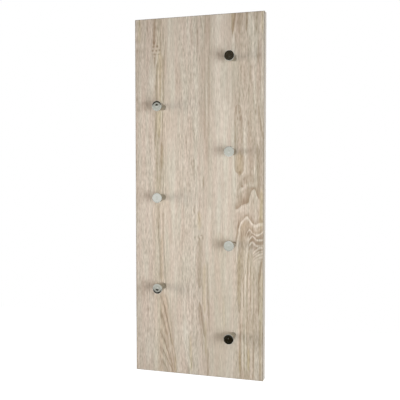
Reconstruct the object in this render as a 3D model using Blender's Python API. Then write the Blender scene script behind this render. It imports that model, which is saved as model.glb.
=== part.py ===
"""A wall coat panel: a wood-decor board with seven turned metal pegs in a zigzag.

The board is a chipboard core with a sheet on its front and back and a band on each narrow side.
A machine screw with a washer holds each peg from behind, sunk into the back. Two keyhole plates
are let in flush at the top of the back, and the panel hangs on them.

Units are metres, +Z is up and the front faces -Y. The origin is the middle of the back, on the
wall. Every piece is modelled with the board lying on its back, as on a bench: X across, Y up the
board and Z out of its front. The empty named panel then stands it all up against the wall.
"""

import math

import bmesh
import bpy

# Board
BOARD_WIDTH = 0.372
BOARD_HEIGHT = 1.000
BOARD_THICKNESS = 0.025
FACING_THICKNESS = 0.0006
BAND_THICKNESS = 0.001
BAND_ROUND = 0.0008
GLUE_LINE = 0.0002

# Pegs, evenly stepped from the top down, the odd ones in the right-hand column
PEG_COUNT = 7
PEG_FROM_END = 0.122
PEG_FROM_SIDE = 0.084
PEG_LENGTH = 0.051
PEG_BASE_DIAMETER = 0.016
PEG_FACE_DIAMETER = 0.028
PEG_RIM_ROUND = 0.0012
PEG_BASE_CHAMFER = 0.0004

# Machine screws that hold the pegs, and their washers
SCREW_DIAMETER = 0.005
SCREW_IN_PEG = 0.010
SCREW_TIP_CHAMFER = 0.0006
SCREW_HEAD_DIAMETER = 0.010
SCREW_HEAD_HEIGHT = 0.0037
SCREW_HEAD_ROUND = 0.0016
SCREW_HEAD_SINK = 0.001
WASHER_DIAMETER = 0.015
WASHER_THICKNESS = 0.0012

# Cross recess in every screw's head
RECESS_ARM_WIDTH = 0.0011
RECESS_LENGTH = 0.0048
RECESS_DEPTH = 0.0016

# Keyhole plates, measured from the board's edges to the middle of the round hole
HANGER_FROM_SIDE = 0.041
HANGER_FROM_TOP = 0.065
PLATE_WIDTH = 0.024
PLATE_THICKNESS = 0.002
PLATE_CORNER = 0.004
PLATE_SINK = 0.0003
PLATE_END = 0.0065
KEYHOLE_ENTRY_DIAMETER = 0.010
KEYHOLE_SLOT_WIDTH = 0.0052
KEYHOLE_TRAVEL = 0.012
POCKET_MARGIN = 0.003
POCKET_DEPTH = 0.010

# Countersunk wood screws that hold the plates
WOOD_SCREW_DIAMETER = 0.0035
WOOD_SCREW_HEAD_DIAMETER = 0.007
WOOD_SCREW_TIP = 0.004
WOOD_SCREW_POINT_DIAMETER = 0.0006
WOOD_SCREW_LAND = 0.0065
WOOD_SCREW_COVER = 0.009

# Clearances: a flat seat, a hole round what passes through it, a sunk plate in its recess
SEAT_GAP = 0.0002
HOLE_CLEARANCE = 0.0004
THREAD_CLEARANCE = 0.0003
RECESS_CLEARANCE = 0.0003
BORE_RELIEF = 0.002

# How far a cutter runs past the face that it cuts, and the most of a wall that a fillet takes
OVERCUT = 0.001
FILLET_SHARE = 0.9

# Sides of the round shapes, and the angle from which an edge is shaded sharp
PEG_SIDES = 32
SCREW_SIDES = 16
HOLE_SIDES = 24
ARC_STEPS = 4
SHARP_ANGLE = math.radians(35)
WELD_DISTANCE = 1e-6

# Places that several pieces share, as heights above the wall
COUNTERBORE_DEPTH = SCREW_HEAD_SINK + SCREW_HEAD_HEIGHT + WASHER_THICKNESS + 2 * SEAT_GAP
WASHER_LOW = COUNTERBORE_DEPTH - SEAT_GAP - WASHER_THICKNESS
SCREW_SEAT = WASHER_LOW - SEAT_GAP
PLATE_HIGH = PLATE_SINK + PLATE_THICKNESS

# The keyhole's pocket, and the plate's screws and ends beyond it, up and down from the round hole
POCKET_WIDTH = KEYHOLE_ENTRY_DIAMETER + 2 * POCKET_MARGIN
POCKET_TOP = KEYHOLE_TRAVEL + POCKET_WIDTH / 2
POCKET_BOTTOM = -POCKET_WIDTH / 2
WOOD_SCREW_HEIGHTS = {
    "upper": POCKET_TOP + WOOD_SCREW_LAND,
    "lower": POCKET_BOTTOM - WOOD_SCREW_LAND,
}
PLATE_TOP = WOOD_SCREW_HEIGHTS["upper"] + PLATE_END
PLATE_BOTTOM = WOOD_SCREW_HEIGHTS["lower"] - PLATE_END


def peg_places():
    """(x, y) of each peg on the board, from the top down."""
    x = BOARD_WIDTH / 2 - PEG_FROM_SIDE
    top = BOARD_HEIGHT / 2 - PEG_FROM_END
    step = 2 * top / (PEG_COUNT - 1)
    for index in range(PEG_COUNT):
        side = 1 if index % 2 == 0 else -1
        yield side * x, top - index * step


def hanger_places():
    """Name and (x, y) of each keyhole plate's round hole, seen from the front."""
    x = BOARD_WIDTH / 2 - HANGER_FROM_SIDE
    y = BOARD_HEIGHT / 2 - HANGER_FROM_TOP
    yield "left", (-x, y)
    yield "right", (x, y)


def arc(centre, radius, start, end, steps=ARC_STEPS):
    """Points on an arc between two angles in degrees, both ends included."""
    for step in range(steps + 1):
        angle = math.radians(start + (end - start) * step / steps)
        yield centre[0] + radius * math.cos(angle), centre[1] + radius * math.sin(angle)


def rectangle(width, height):
    x, y = width / 2, height / 2
    return [(-x, -y), (x, -y), (x, y), (-x, y)]


def rounded_rectangle(left, right, bottom, top, radius):
    return [
        *arc((right - radius, top - radius), radius, 0, 90),
        *arc((left + radius, top - radius), radius, 90, 180),
        *arc((left + radius, bottom + radius), radius, 180, 270),
        *arc((right - radius, bottom + radius), radius, 270, 360),
    ]


def keyhole():
    """The outline of a round hole with a narrower slot running up from it."""
    half_slot = KEYHOLE_SLOT_WIDTH / 2
    meets = math.degrees(math.asin(KEYHOLE_SLOT_WIDTH / KEYHOLE_ENTRY_DIAMETER))
    return [
        *arc((0, 0), KEYHOLE_ENTRY_DIAMETER / 2, 90 + meets, 450 - meets, HOLE_SIDES),
        *arc((0, KEYHOLE_TRAVEL), half_slot, 0, 180, 2 * ARC_STEPS),
    ]


def cross(length, arm_width):
    end, arm = length / 2, arm_width / 2
    return [
        (end, -arm), (end, arm), (arm, arm), (arm, end), (-arm, end), (-arm, arm),
        (-end, arm), (-end, -arm), (-arm, -arm), (-arm, -end), (arm, -end), (arm, -arm),
    ]


def add_prism(solid, outline, low, high, at=(0, 0)):
    """Adds the upright solid that stands on this outline between two heights."""
    points = [solid.verts.new((at[0] + x, at[1] + y, low)) for x, y in outline]
    grown = bmesh.ops.extrude_face_region(solid, geom=[solid.faces.new(points)])
    top = [item for item in grown["geom"] if isinstance(item, bmesh.types.BMVert)]
    bmesh.ops.translate(solid, verts=top, vec=(0, 0, high - low))


def add_turned(solid, profile, sides, at=(0, 0, 0), closed=False):
    """Adds the solid that a profile of (radius, height) points sweeps about an upright axis."""
    points = [solid.verts.new((at[0] + radius, at[1], at[2] + height)) for radius, height in profile]
    following = points[1:] + points[:1] if closed else points[1:]
    edges = [solid.edges.new(pair) for pair in zip(points, following)]
    bmesh.ops.spin(
        solid, geom=points + edges, cent=at, axis=(0, 0, 1), angle=math.tau, steps=sides, use_merge=True
    )


def mesh_from(name, build):
    """A mesh that build fills in, welded at its poles and with its faces pointing out."""
    solid = bmesh.new()
    build(solid)
    bmesh.ops.remove_doubles(solid, verts=solid.verts, dist=WELD_DISTANCE)
    bmesh.ops.recalc_face_normals(solid, faces=solid.faces)
    mesh = bpy.data.meshes.new(name)
    solid.to_mesh(mesh)
    solid.free()
    return mesh


def carved(blank, *cutters):
    """The mesh that is left of a blank when each cutter has been taken from it."""
    body = bpy.data.objects.new("blank", blank)
    helpers = [body]
    bpy.context.scene.collection.objects.link(body)
    for cutter in cutters:
        tool = bpy.data.objects.new("cutter", cutter)
        helpers.append(tool)
        bpy.context.scene.collection.objects.link(tool)
        cut = body.modifiers.new("cut", "BOOLEAN")
        cut.operation = "DIFFERENCE"
        cut.object = tool
    bpy.context.view_layer.update()
    graph = bpy.context.evaluated_depsgraph_get()
    mesh = bpy.data.meshes.new_from_object(body.evaluated_get(graph))
    mesh.name = blank.name
    for helper in helpers:
        bpy.data.objects.remove(helper)
    return mesh


def finish_material(name, colour, roughness, metallic=0.0):
    material = bpy.data.materials.new(name)
    material.use_nodes = True
    shader = material.node_tree.nodes["Principled BSDF"]
    shader.inputs["Base Color"].default_value = (*colour, 1)
    shader.inputs["Roughness"].default_value = roughness
    shader.inputs["Metallic"].default_value = metallic
    material.diffuse_color = (*colour, 1)
    return material


def place(name, mesh, material, parent, location=(0, 0, 0), rotation=(0, 0, 0)):
    """Puts one piece in the scene under its parent, round faces smooth and edges sharp."""
    if not mesh.materials:
        mesh.materials.append(material)
        mesh.shade_smooth()
        mesh.set_sharp_from_angle(angle=SHARP_ANGLE)
    piece = bpy.data.objects.new(name, mesh)
    bpy.context.scene.collection.objects.link(piece)
    piece.parent = parent
    piece.location = location
    piece.rotation_euler = rotation
    return piece


def peg_drillings():
    """The counterbore and through hole behind every peg, as cutters."""
    counterbore = WASHER_DIAMETER / 2 + HOLE_CLEARANCE
    hole = SCREW_DIAMETER / 2 + HOLE_CLEARANCE
    profile = [
        (0, -OVERCUT),
        (counterbore, -OVERCUT),
        (counterbore, COUNTERBORE_DEPTH),
        (hole, COUNTERBORE_DEPTH),
        (hole, BOARD_THICKNESS + OVERCUT),
        (0, BOARD_THICKNESS + OVERCUT),
    ]

    def build(solid):
        for x, y in peg_places():
            add_turned(solid, profile, HOLE_SIDES, (x, y, 0))

    return mesh_from("peg_drillings", build)


def plate_recesses():
    """The shallow routed recess that each keyhole plate lies in."""
    outline = plate_outline(RECESS_CLEARANCE)

    def build(solid):
        for _, at in hanger_places():
            add_prism(solid, outline, -OVERCUT, PLATE_HIGH + SEAT_GAP, at)

    return mesh_from("plate_recesses", build)


def keyhole_pockets():
    """The deeper pocket behind each keyhole, where the wall screw's head slides."""
    outline = [
        *arc((0, KEYHOLE_TRAVEL), POCKET_WIDTH / 2, 0, 180, 2 * ARC_STEPS),
        *arc((0, 0), POCKET_WIDTH / 2, 180, 360, 2 * ARC_STEPS),
    ]

    def build(solid):
        for _, at in hanger_places():
            add_prism(solid, outline, -OVERCUT, PLATE_HIGH + POCKET_DEPTH, at)

    return mesh_from("keyhole_pockets", build)


def wood_screw_profile(grow=0.0, above=0.0):
    """The outline of a countersunk wood screw, head down and tip up, with its head's face at 0."""
    head = WOOD_SCREW_HEAD_DIAMETER / 2
    shank = WOOD_SCREW_DIAMETER / 2
    length = BOARD_THICKNESS - WOOD_SCREW_COVER - PLATE_SINK
    point = WOOD_SCREW_POINT_DIAMETER / 2
    rim = [(head + grow, -above)] if above else []
    return [
        (0, -above),
        *rim,
        (head + grow, 0),
        (shank + grow, head - shank),
        (shank + grow, length - WOOD_SCREW_TIP),
        (point + grow, length + grow),
        (0, length + grow),
    ]


def wood_screw_holes():
    """Pilot holes for the plates' screws, with the countersink that the plate shares."""
    profile = wood_screw_profile(THREAD_CLEARANCE, OVERCUT)

    def build(solid):
        for _, (x, y) in hanger_places():
            for height in WOOD_SCREW_HEIGHTS.values():
                add_turned(solid, profile, SCREW_SIDES, (x, y + height, PLATE_SINK))

    return mesh_from("wood_screw_holes", build)


def plate_outline(grow=0.0):
    half = PLATE_WIDTH / 2 + grow
    corner = min(PLATE_CORNER + grow, FILLET_SHARE * half)
    return rounded_rectangle(-half, half, PLATE_BOTTOM - grow, PLATE_TOP + grow, corner)


def slab(name, width, height, low, high):
    return mesh_from(name, lambda solid: add_prism(solid, rectangle(width, height), low, high))


def make_board(panel):
    """The core and its two sheets, drilled and routed together, and the bands round them."""
    inner_width = BOARD_WIDTH - 2 * (BAND_THICKNESS + GLUE_LINE)
    inner_height = BOARD_HEIGHT - 2 * (BAND_THICKNESS + GLUE_LINE)
    core_low = FACING_THICKNESS + GLUE_LINE
    core_high = BOARD_THICKNESS - core_low
    front_low = BOARD_THICKNESS - FACING_THICKNESS
    drillings, recesses = peg_drillings(), plate_recesses()

    chipboard = finish_material("chipboard", (0.42, 0.31, 0.20), 0.9)
    core = slab("panel_core", inner_width, inner_height, core_low, core_high)
    core = carved(core, drillings, recesses, keyhole_pockets(), wood_screw_holes())
    place("panel_core", core, chipboard, panel)

    oak_decor = finish_material("oak_decor_laminate", (0.54, 0.46, 0.37), 0.55)
    front = slab("front_facing", inner_width, inner_height, front_low, BOARD_THICKNESS)
    place("front_facing", carved(front, drillings), oak_decor, panel)

    liner = finish_material("back_liner", (0.60, 0.54, 0.45), 0.6)
    back = slab("back_facing", inner_width, inner_height, 0, FACING_THICKNESS)
    place("back_facing", carved(back, drillings, recesses), liner, panel)

    make_bands(panel)


def make_bands(panel):
    """The four edge bands. The side ones run the full height and cover the others' ends."""
    edge_plastic = finish_material("edge_band_plastic", (0.54, 0.50, 0.44), 0.5)
    radius = min(BAND_ROUND, FILLET_SHARE * min(BAND_THICKNESS, BOARD_THICKNESS / 2))
    section = [
        (0, BOARD_THICKNESS),
        (0, 0),
        *arc((BAND_THICKNESS - radius, radius), radius, 270, 360),
        *arc((BAND_THICKNESS - radius, BOARD_THICKNESS - radius), radius, 0, 90),
    ]

    def band_mesh(name, length):
        return mesh_from(name, lambda solid: add_prism(solid, section, -length / 2, length / 2))

    side = band_mesh("side_band", BOARD_HEIGHT)
    end = band_mesh("end_band", BOARD_WIDTH - 2 * (BAND_THICKNESS + GLUE_LINE))
    across = BOARD_WIDTH / 2 - BAND_THICKNESS
    up = BOARD_HEIGHT / 2 - BAND_THICKNESS
    turned = math.pi / 2
    place("edge_band_right", side, edge_plastic, panel, (across, 0, 0), (turned, 0, 0))
    place("edge_band_top", end, edge_plastic, panel, (0, up, 0), (turned, 0, turned))
    place("edge_band_left", side, edge_plastic, panel, (-across, 0, 0), (turned, 0, 2 * turned))
    place("edge_band_bottom", end, edge_plastic, panel, (0, -up, 0), (turned, 0, 3 * turned))


def peg_mesh():
    """A cone that widens to the front, with a rounded rim and a blind threaded hole in its base."""
    bore = SCREW_DIAMETER / 2 + THREAD_CLEARANCE
    bore_depth = SCREW_IN_PEG + BORE_RELIEF
    base, face = PEG_BASE_DIAMETER / 2, PEG_FACE_DIAMETER / 2
    length = PEG_LENGTH - SEAT_GAP
    slope = math.degrees(math.atan2(face - base, length))
    profile = [
        (0, bore_depth),
        (bore, bore_depth),
        (bore, 0),
        (base - PEG_BASE_CHAMFER, 0),
        (base, PEG_BASE_CHAMFER),
        *arc((face - PEG_RIM_ROUND, length - PEG_RIM_ROUND), PEG_RIM_ROUND, -slope, 90),
        (0, length),
    ]
    return mesh_from("peg", lambda solid: add_turned(solid, profile, PEG_SIDES))


def machine_screw_mesh():
    """A pan-head screw, tip up, with its head's seat at 0 and a cross recess in the head."""
    head, shank = SCREW_HEAD_DIAMETER / 2, SCREW_DIAMETER / 2
    edge = min(SCREW_HEAD_ROUND, FILLET_SHARE * SCREW_HEAD_HEIGHT)
    length = BOARD_THICKNESS - SCREW_SEAT + SCREW_IN_PEG
    profile = [
        (0, -SCREW_HEAD_HEIGHT),
        *arc((head - edge, edge - SCREW_HEAD_HEIGHT), edge, 270, 360),
        (head, 0),
        (shank, 0),
        (shank, length - SCREW_TIP_CHAMFER),
        (shank - SCREW_TIP_CHAMFER, length),
        (0, length),
    ]
    blank = mesh_from("machine_screw", lambda solid: add_turned(solid, profile, SCREW_SIDES))
    return carved(blank, recess_cutter(-SCREW_HEAD_HEIGHT))


def recess_cutter(head_face):
    """A cross recess, cut upwards into a screw's head from its outer face."""
    outline = cross(RECESS_LENGTH, RECESS_ARM_WIDTH)
    low, high = head_face - OVERCUT, head_face + RECESS_DEPTH
    return mesh_from("recess", lambda solid: add_prism(solid, outline, low, high))


def washer_mesh():
    inner, outer = SCREW_DIAMETER / 2 + HOLE_CLEARANCE, WASHER_DIAMETER / 2
    ring = [(outer, 0), (outer, WASHER_THICKNESS), (inner, WASHER_THICKNESS), (inner, 0)]
    return mesh_from("washer", lambda solid: add_turned(solid, ring, HOLE_SIDES, closed=True))


def make_pegs(panel):
    """Each peg with the screw and washer that pull it against the board."""
    polished = finish_material("polished_nickel_plate", (0.72, 0.71, 0.68), 0.12, 1.0)
    zinc = finish_material("zinc_plated_steel", (0.60, 0.61, 0.62), 0.38, 1.0)
    peg, screw, washer = peg_mesh(), machine_screw_mesh(), washer_mesh()
    for number, (x, y) in enumerate(peg_places(), 1):
        station = bpy.data.objects.new(f"peg_station_{number}", None)
        bpy.context.scene.collection.objects.link(station)
        station.parent = panel
        station.location = (x, y, 0)
        place(f"peg_{number}", peg, polished, station, (0, 0, BOARD_THICKNESS + SEAT_GAP))
        place(f"peg_screw_{number}", screw, zinc, station, (0, 0, SCREW_SEAT))
        place(f"peg_washer_{number}", washer, zinc, station, (0, 0, WASHER_LOW))


def keyhole_plate_mesh():
    """A flat steel plate with a keyhole in its middle and a countersunk hole at each end."""

    def build_holes(solid):
        for height in WOOD_SCREW_HEIGHTS.values():
            add_turned(solid, profile, SCREW_SIDES, (0, height, 0))

    low, high = -OVERCUT, PLATE_THICKNESS + OVERCUT
    profile = wood_screw_profile(THREAD_CLEARANCE, OVERCUT)
    blank = mesh_from("plate", lambda solid: add_prism(solid, plate_outline(), 0, PLATE_THICKNESS))
    slot = mesh_from("keyhole", lambda solid: add_prism(solid, keyhole(), low, high))
    return carved(blank, slot, mesh_from("countersinks", build_holes))


def wood_screw_mesh():
    profile = wood_screw_profile()
    blank = mesh_from("wood_screw", lambda solid: add_turned(solid, profile, SCREW_SIDES))
    return carved(blank, recess_cutter(0))


def make_hangers(panel):
    """The two keyhole plates in the back, each held by two wood screws."""
    zinc = finish_material("zinc_plated_sheet", (0.62, 0.62, 0.60), 0.42, 1.0)
    yellow_zinc = finish_material("yellow_zinc_steel", (0.62, 0.50, 0.27), 0.40, 1.0)
    plate, screw = keyhole_plate_mesh(), wood_screw_mesh()
    for side, (x, y) in hanger_places():
        place(f"hanger_plate_{side}", plate, zinc, panel, (x, y, PLATE_SINK))
        for end, height in WOOD_SCREW_HEIGHTS.items():
            where = (x, y + height, PLATE_SINK)
            place(f"hanger_screw_{side}_{end}", screw, yellow_zinc, panel, where)


for leftover in list(bpy.data.objects):
    bpy.data.objects.remove(leftover)

panel_empty = bpy.data.objects.new("panel", None)
panel_empty.rotation_euler = (math.pi / 2, 0, 0)
bpy.context.scene.collection.objects.link(panel_empty)
make_board(panel_empty)
make_pegs(panel_empty)
make_hangers(panel_empty)
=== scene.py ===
"""Looks of a wall coat panel: a board faced with pale printed oak, seven polished pegs set in a
zigzag, and the screws and keyhole plates sunk into its back. Metres, +Z up, front towards -Y.
"""

import math

import bmesh
import bpy
from mathutils import Matrix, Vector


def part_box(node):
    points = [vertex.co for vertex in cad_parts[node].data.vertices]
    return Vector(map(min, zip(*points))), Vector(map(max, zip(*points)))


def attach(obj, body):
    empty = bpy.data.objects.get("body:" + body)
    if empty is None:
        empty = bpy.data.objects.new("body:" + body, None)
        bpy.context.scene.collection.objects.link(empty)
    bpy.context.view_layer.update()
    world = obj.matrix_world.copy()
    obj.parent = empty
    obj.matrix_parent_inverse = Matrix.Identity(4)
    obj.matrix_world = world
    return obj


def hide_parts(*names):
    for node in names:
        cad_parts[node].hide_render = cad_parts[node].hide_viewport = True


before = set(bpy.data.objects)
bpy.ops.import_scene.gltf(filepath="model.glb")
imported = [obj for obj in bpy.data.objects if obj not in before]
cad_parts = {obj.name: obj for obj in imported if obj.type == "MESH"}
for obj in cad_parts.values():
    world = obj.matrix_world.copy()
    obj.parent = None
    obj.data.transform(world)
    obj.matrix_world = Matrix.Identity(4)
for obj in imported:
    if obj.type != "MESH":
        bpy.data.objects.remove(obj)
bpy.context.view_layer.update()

# Panel core: a slab of chipboard, pressed from softwood chips and glue and drilled and routed.
# It shows only in the holes for the peg screws and in the pockets behind the keyholes.
MM = 0.001


def linear(code, alpha=1.0):
    """An sRGB hex colour as linear light."""
    parts = [int(code[start:start + 2], 16) / 255 for start in (1, 3, 5)]
    return (*[p / 12.92 if p <= 0.04045 else ((p + 0.055) / 1.055) ** 2.4 for p in parts], alpha)


def node(tree, kind, *inputs, named=None, **settings):
    """Adds a node, sets it up, and fills or links its inputs, in order or by name."""
    made = tree.nodes.new(kind)
    for name, value in settings.items():
        setattr(made, name, value)
    wanted = list(zip([socket for socket in made.inputs if socket.enabled], inputs))
    wanted += [(made.inputs[name], value) for name, value in (named or {}).items()]
    for socket, value in wanted:
        if isinstance(value, bpy.types.Node):
            value = next(out for out in value.outputs if out.enabled)
        if isinstance(value, bpy.types.NodeSocket):
            tree.links.new(value, socket)
        elif value is not None:
            socket.default_value = value
    return made


def new_material(name):
    """A bare material, its node tree, and the point on the piece that is being shaded."""
    material = bpy.data.materials.new(name)
    material.use_nodes = True
    material.node_tree.nodes.clear()
    return material, material.node_tree, node(material.node_tree, "ShaderNodeTexCoord").outputs["Object"]


def dress(names, material):
    """Gives solids of the frame their finish."""
    for name in names:
        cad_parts[name].data.materials.clear()
        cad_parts[name].data.materials.append(material)


# Raw chipboard: pressed chips of several browns, about 3 by 1.2 mm, dull and slightly open.
chip_length, chip_thickness, seam_depth = 3 * MM, 1.2 * MM, 0.3 * MM
chipboard, tree, place = new_material("pressed_chipboard")
chip_scale = (1 / chip_length, 1 / chip_thickness, 1 / chip_length)
chip_space = node(tree, "ShaderNodeMapping", place, None, None, chip_scale)
chips = node(tree, "ShaderNodeTexVoronoi", chip_space, 1.0)
chip_tone = node(tree, "ShaderNodeValToRGB", node(tree, "ShaderNodeSeparateColor", chips.outputs["Color"]))
chip_tone.color_ramp.elements[0].color = linear("#8A6A45")
chip_tone.color_ramp.elements[1].color = linear("#D2B88E")
chip_seam = node(tree, "ShaderNodeMapRange", chips.outputs["Distance"], 0.2, 0.8, 1.0, 0.0)
chip_relief = node(tree, "ShaderNodeBump", 0.5, seam_depth, named={"Height": chip_seam})
node(tree, "ShaderNodeOutputMaterial", node(tree, "ShaderNodeBsdfPrincipled", named={
    "Base Color": chip_tone, "Roughness": 0.9, "Normal": chip_relief}))
dress(["panel_core"], chipboard)

# Front facing: one sheet of melamine paper printed with pale, limed oak, pressed on the core.
# Its figure runs the height of the board: straight veins, a cathedral at the right with a flame and a
# spear above it, and half a cathedral at the lower left.
board_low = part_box("edge_band_left")[0]
board_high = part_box("edge_band_right")[1]

# Printed limed oak: a matt sheet in warm greys, whose paper carries both the veins and the pores.
oak, tree, place = new_material("printed_limed_oak")
spot = node(tree, "ShaderNodeSeparateXYZ", place)


def grain(width, length, seed, detail=2.0):
    """Noise drawn out along the grain, its size given in millimetres."""
    scale = (1 / (width * MM), 1, 1 / (length * MM))
    drawn = node(tree, "ShaderNodeMapping", place, (seed, 0, 0), None, scale)
    return node(tree, "ShaderNodeTexNoise", drawn, 1.0, detail)


def tones_along(tree, value, stops):
    """Tones that blend from one to the next along a value. Each stop is a place, a colour and, where it
    isn't full, a strength."""
    first, last = stops[0][0], stops[-1][0]
    shares = node(tree, "ShaderNodeMapRange", value, first, last, 0.0, 1.0, clamp=False)
    made = node(tree, "ShaderNodeValToRGB", shares)
    elements = made.color_ramp.elements
    ends = {first: 0, last: -1}
    for at, tone, *strength in stops:
        element = elements[ends[at]] if at in ends else elements.new((at - first) / (last - first))
        element.color = linear(tone, *strength)
    return made


# The print is drawn in millimetres across from the board's left edge and down from its top.
# Both wander a little, so that no vein runs dead straight.
wander_by, waver_by, rise_by = 3.0, 1.2, 3.0
wander = node(tree, "ShaderNodeMath", grain(40, 150, 3), 2 * wander_by, -wander_by - board_low.x / MM,
              operation="MULTIPLY_ADD")
waver = node(tree, "ShaderNodeMath", grain(6, 30, 9), 2 * waver_by, -waver_by, operation="MULTIPLY_ADD")
drift = node(tree, "ShaderNodeMath", wander, waver, operation="ADD")
across = node(tree, "ShaderNodeMath", spot.outputs["X"], 1 / MM, drift, operation="MULTIPLY_ADD")
rise = node(tree, "ShaderNodeMath", grain(14, 14, 17), 2 * rise_by, board_high.z / MM - rise_by,
            operation="MULTIPLY_ADD")
down = node(tree, "ShaderNodeMath", spot.outputs["Z"], -1 / MM, rise, operation="MULTIPLY_ADD")

# Ground of the print: palest in a broad band right of the middle, with slow bands of cream and of pinkish
# brown. It is browner towards both edges, which is painted shade where the light falls off towards the
# sides, and darker still in the first few millimetres at the left.
colour = tones_along(tree, across, [
    (0, "#BCAE9E"), (4, "#C1B3A3"), (10, "#C8B9A9"), (48, "#C9BBAB"), (66, "#CABBA7"), (105, "#CFC2B1"),
    (190, "#C9BCAC"), (215, "#C6B8A7"), (245, "#CBBFAF"), (285, "#C7BBAA"), (305, "#BEAF9D"),
    (345, "#BDAF9D"), (372, "#B9AD9B")])
creamy = node(tree, "ShaderNodeMapRange", grain(16, 300, 31), 0.5, 0.75, 0.0, 0.6)
colour = node(tree, "ShaderNodeMix", creamy, colour, linear("#DDD5C6"), data_type="RGBA")
blush = node(tree, "ShaderNodeMapRange", grain(14, 220, 47), 0.5, 0.75, 0.0, 0.5)
colour = node(tree, "ShaderNodeMix", blush, colour, linear("#B9A593"), data_type="RGBA")

# Veins: straight streaks with pointed ends. Each is its middle, its half width, where it starts and
# ends, how far it leans for each millimetre down, and its strength. They are listed from left to right.
vein = bpy.data.node_groups.new("vein", "ShaderNodeTree")
vein_sizes = ("Middle", "Half width", "Start", "End", "Lean", "Strength")
for name in ("Across", "Down") + vein_sizes:
    vein.interface.new_socket(name, in_out="INPUT", socket_type="NodeSocketFloat")
vein.interface.new_socket("Amount", in_out="OUTPUT", socket_type="NodeSocketFloat")
given = node(vein, "NodeGroupInput").outputs
vein_taper = 22.0
# A smooth step stops at its ends by itself. Clamped as well, so many of them are more than one material
# can hold, and the board renders black.
soft = {"interpolation_type": "SMOOTHSTEP", "clamp": False}
run = node(vein, "ShaderNodeMath", given["Down"], given["Start"], operation="SUBTRACT")
left = node(vein, "ShaderNodeMath", given["End"], given["Down"], operation="SUBTRACT")
course = node(vein, "ShaderNodeMath", run, given["Lean"], given["Middle"], operation="MULTIPLY_ADD")
aside = node(vein, "ShaderNodeMath", given["Across"], course, operation="SUBTRACT")
opening = node(vein, "ShaderNodeMapRange", run, 0.0, vein_taper, 0.0, 1.0, **soft)
closing = node(vein, "ShaderNodeMapRange", left, 0.0, vein_taper, 0.0, 1.0, **soft)
reach = node(vein, "ShaderNodeMath", opening, closing, operation="MULTIPLY")
spread = node(vein, "ShaderNodeMath", reach, given["Half width"], operation="MULTIPLY")
aside = node(vein, "ShaderNodeMath", aside, operation="ABSOLUTE")
amount = node(vein, "ShaderNodeMapRange", aside, 0.0, spread, given["Strength"], 0.0, **soft)
node(vein, "NodeGroupOutput", amount)

ochre_veins = [
    (13, 9, -30, 72, 0, .4), (70, 11, 430, 515, 0, .2), (71.5, 12, 246, 338, 0, .6),
    (75, 14, 88, 246, 0, .45), (78, 6.5, 600, 752, .01, .24), (80, 9, 345, 425, 0, .35),
    (119, 6, 940, 1060, 0, .45), (164, 6, 885, 1000, .02, .5), (190, 10, 530, 596, 0, .45),
    (206, 8, 680, 830, 0, .45), (208.5, 6.5, 832, 950, .02, .4), (250, 34, 590, 1100, 0, .12),
    (261, 6, 770, 870, 0, .35), (285, 8, -40, 60, 0, .6), (304.5, 9, 650, 800, 0, .45),
    (304.5, 17, 366, 444, 0, .5), (307, 6, 912, 990, 0, .7), (319, 16, 556, 720, 0, .15),
    (325, 44, 640, 1100, 0, .15), (332, 7, 908, 980, 0, .8), (364, 6, 860, 1000, 0, .35),
    (365, 7, 690, 905, 0, .42), (365.5, 8, 468, 590, 0, .65), (366, 7, -30, 66, 0, .4),
]
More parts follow.
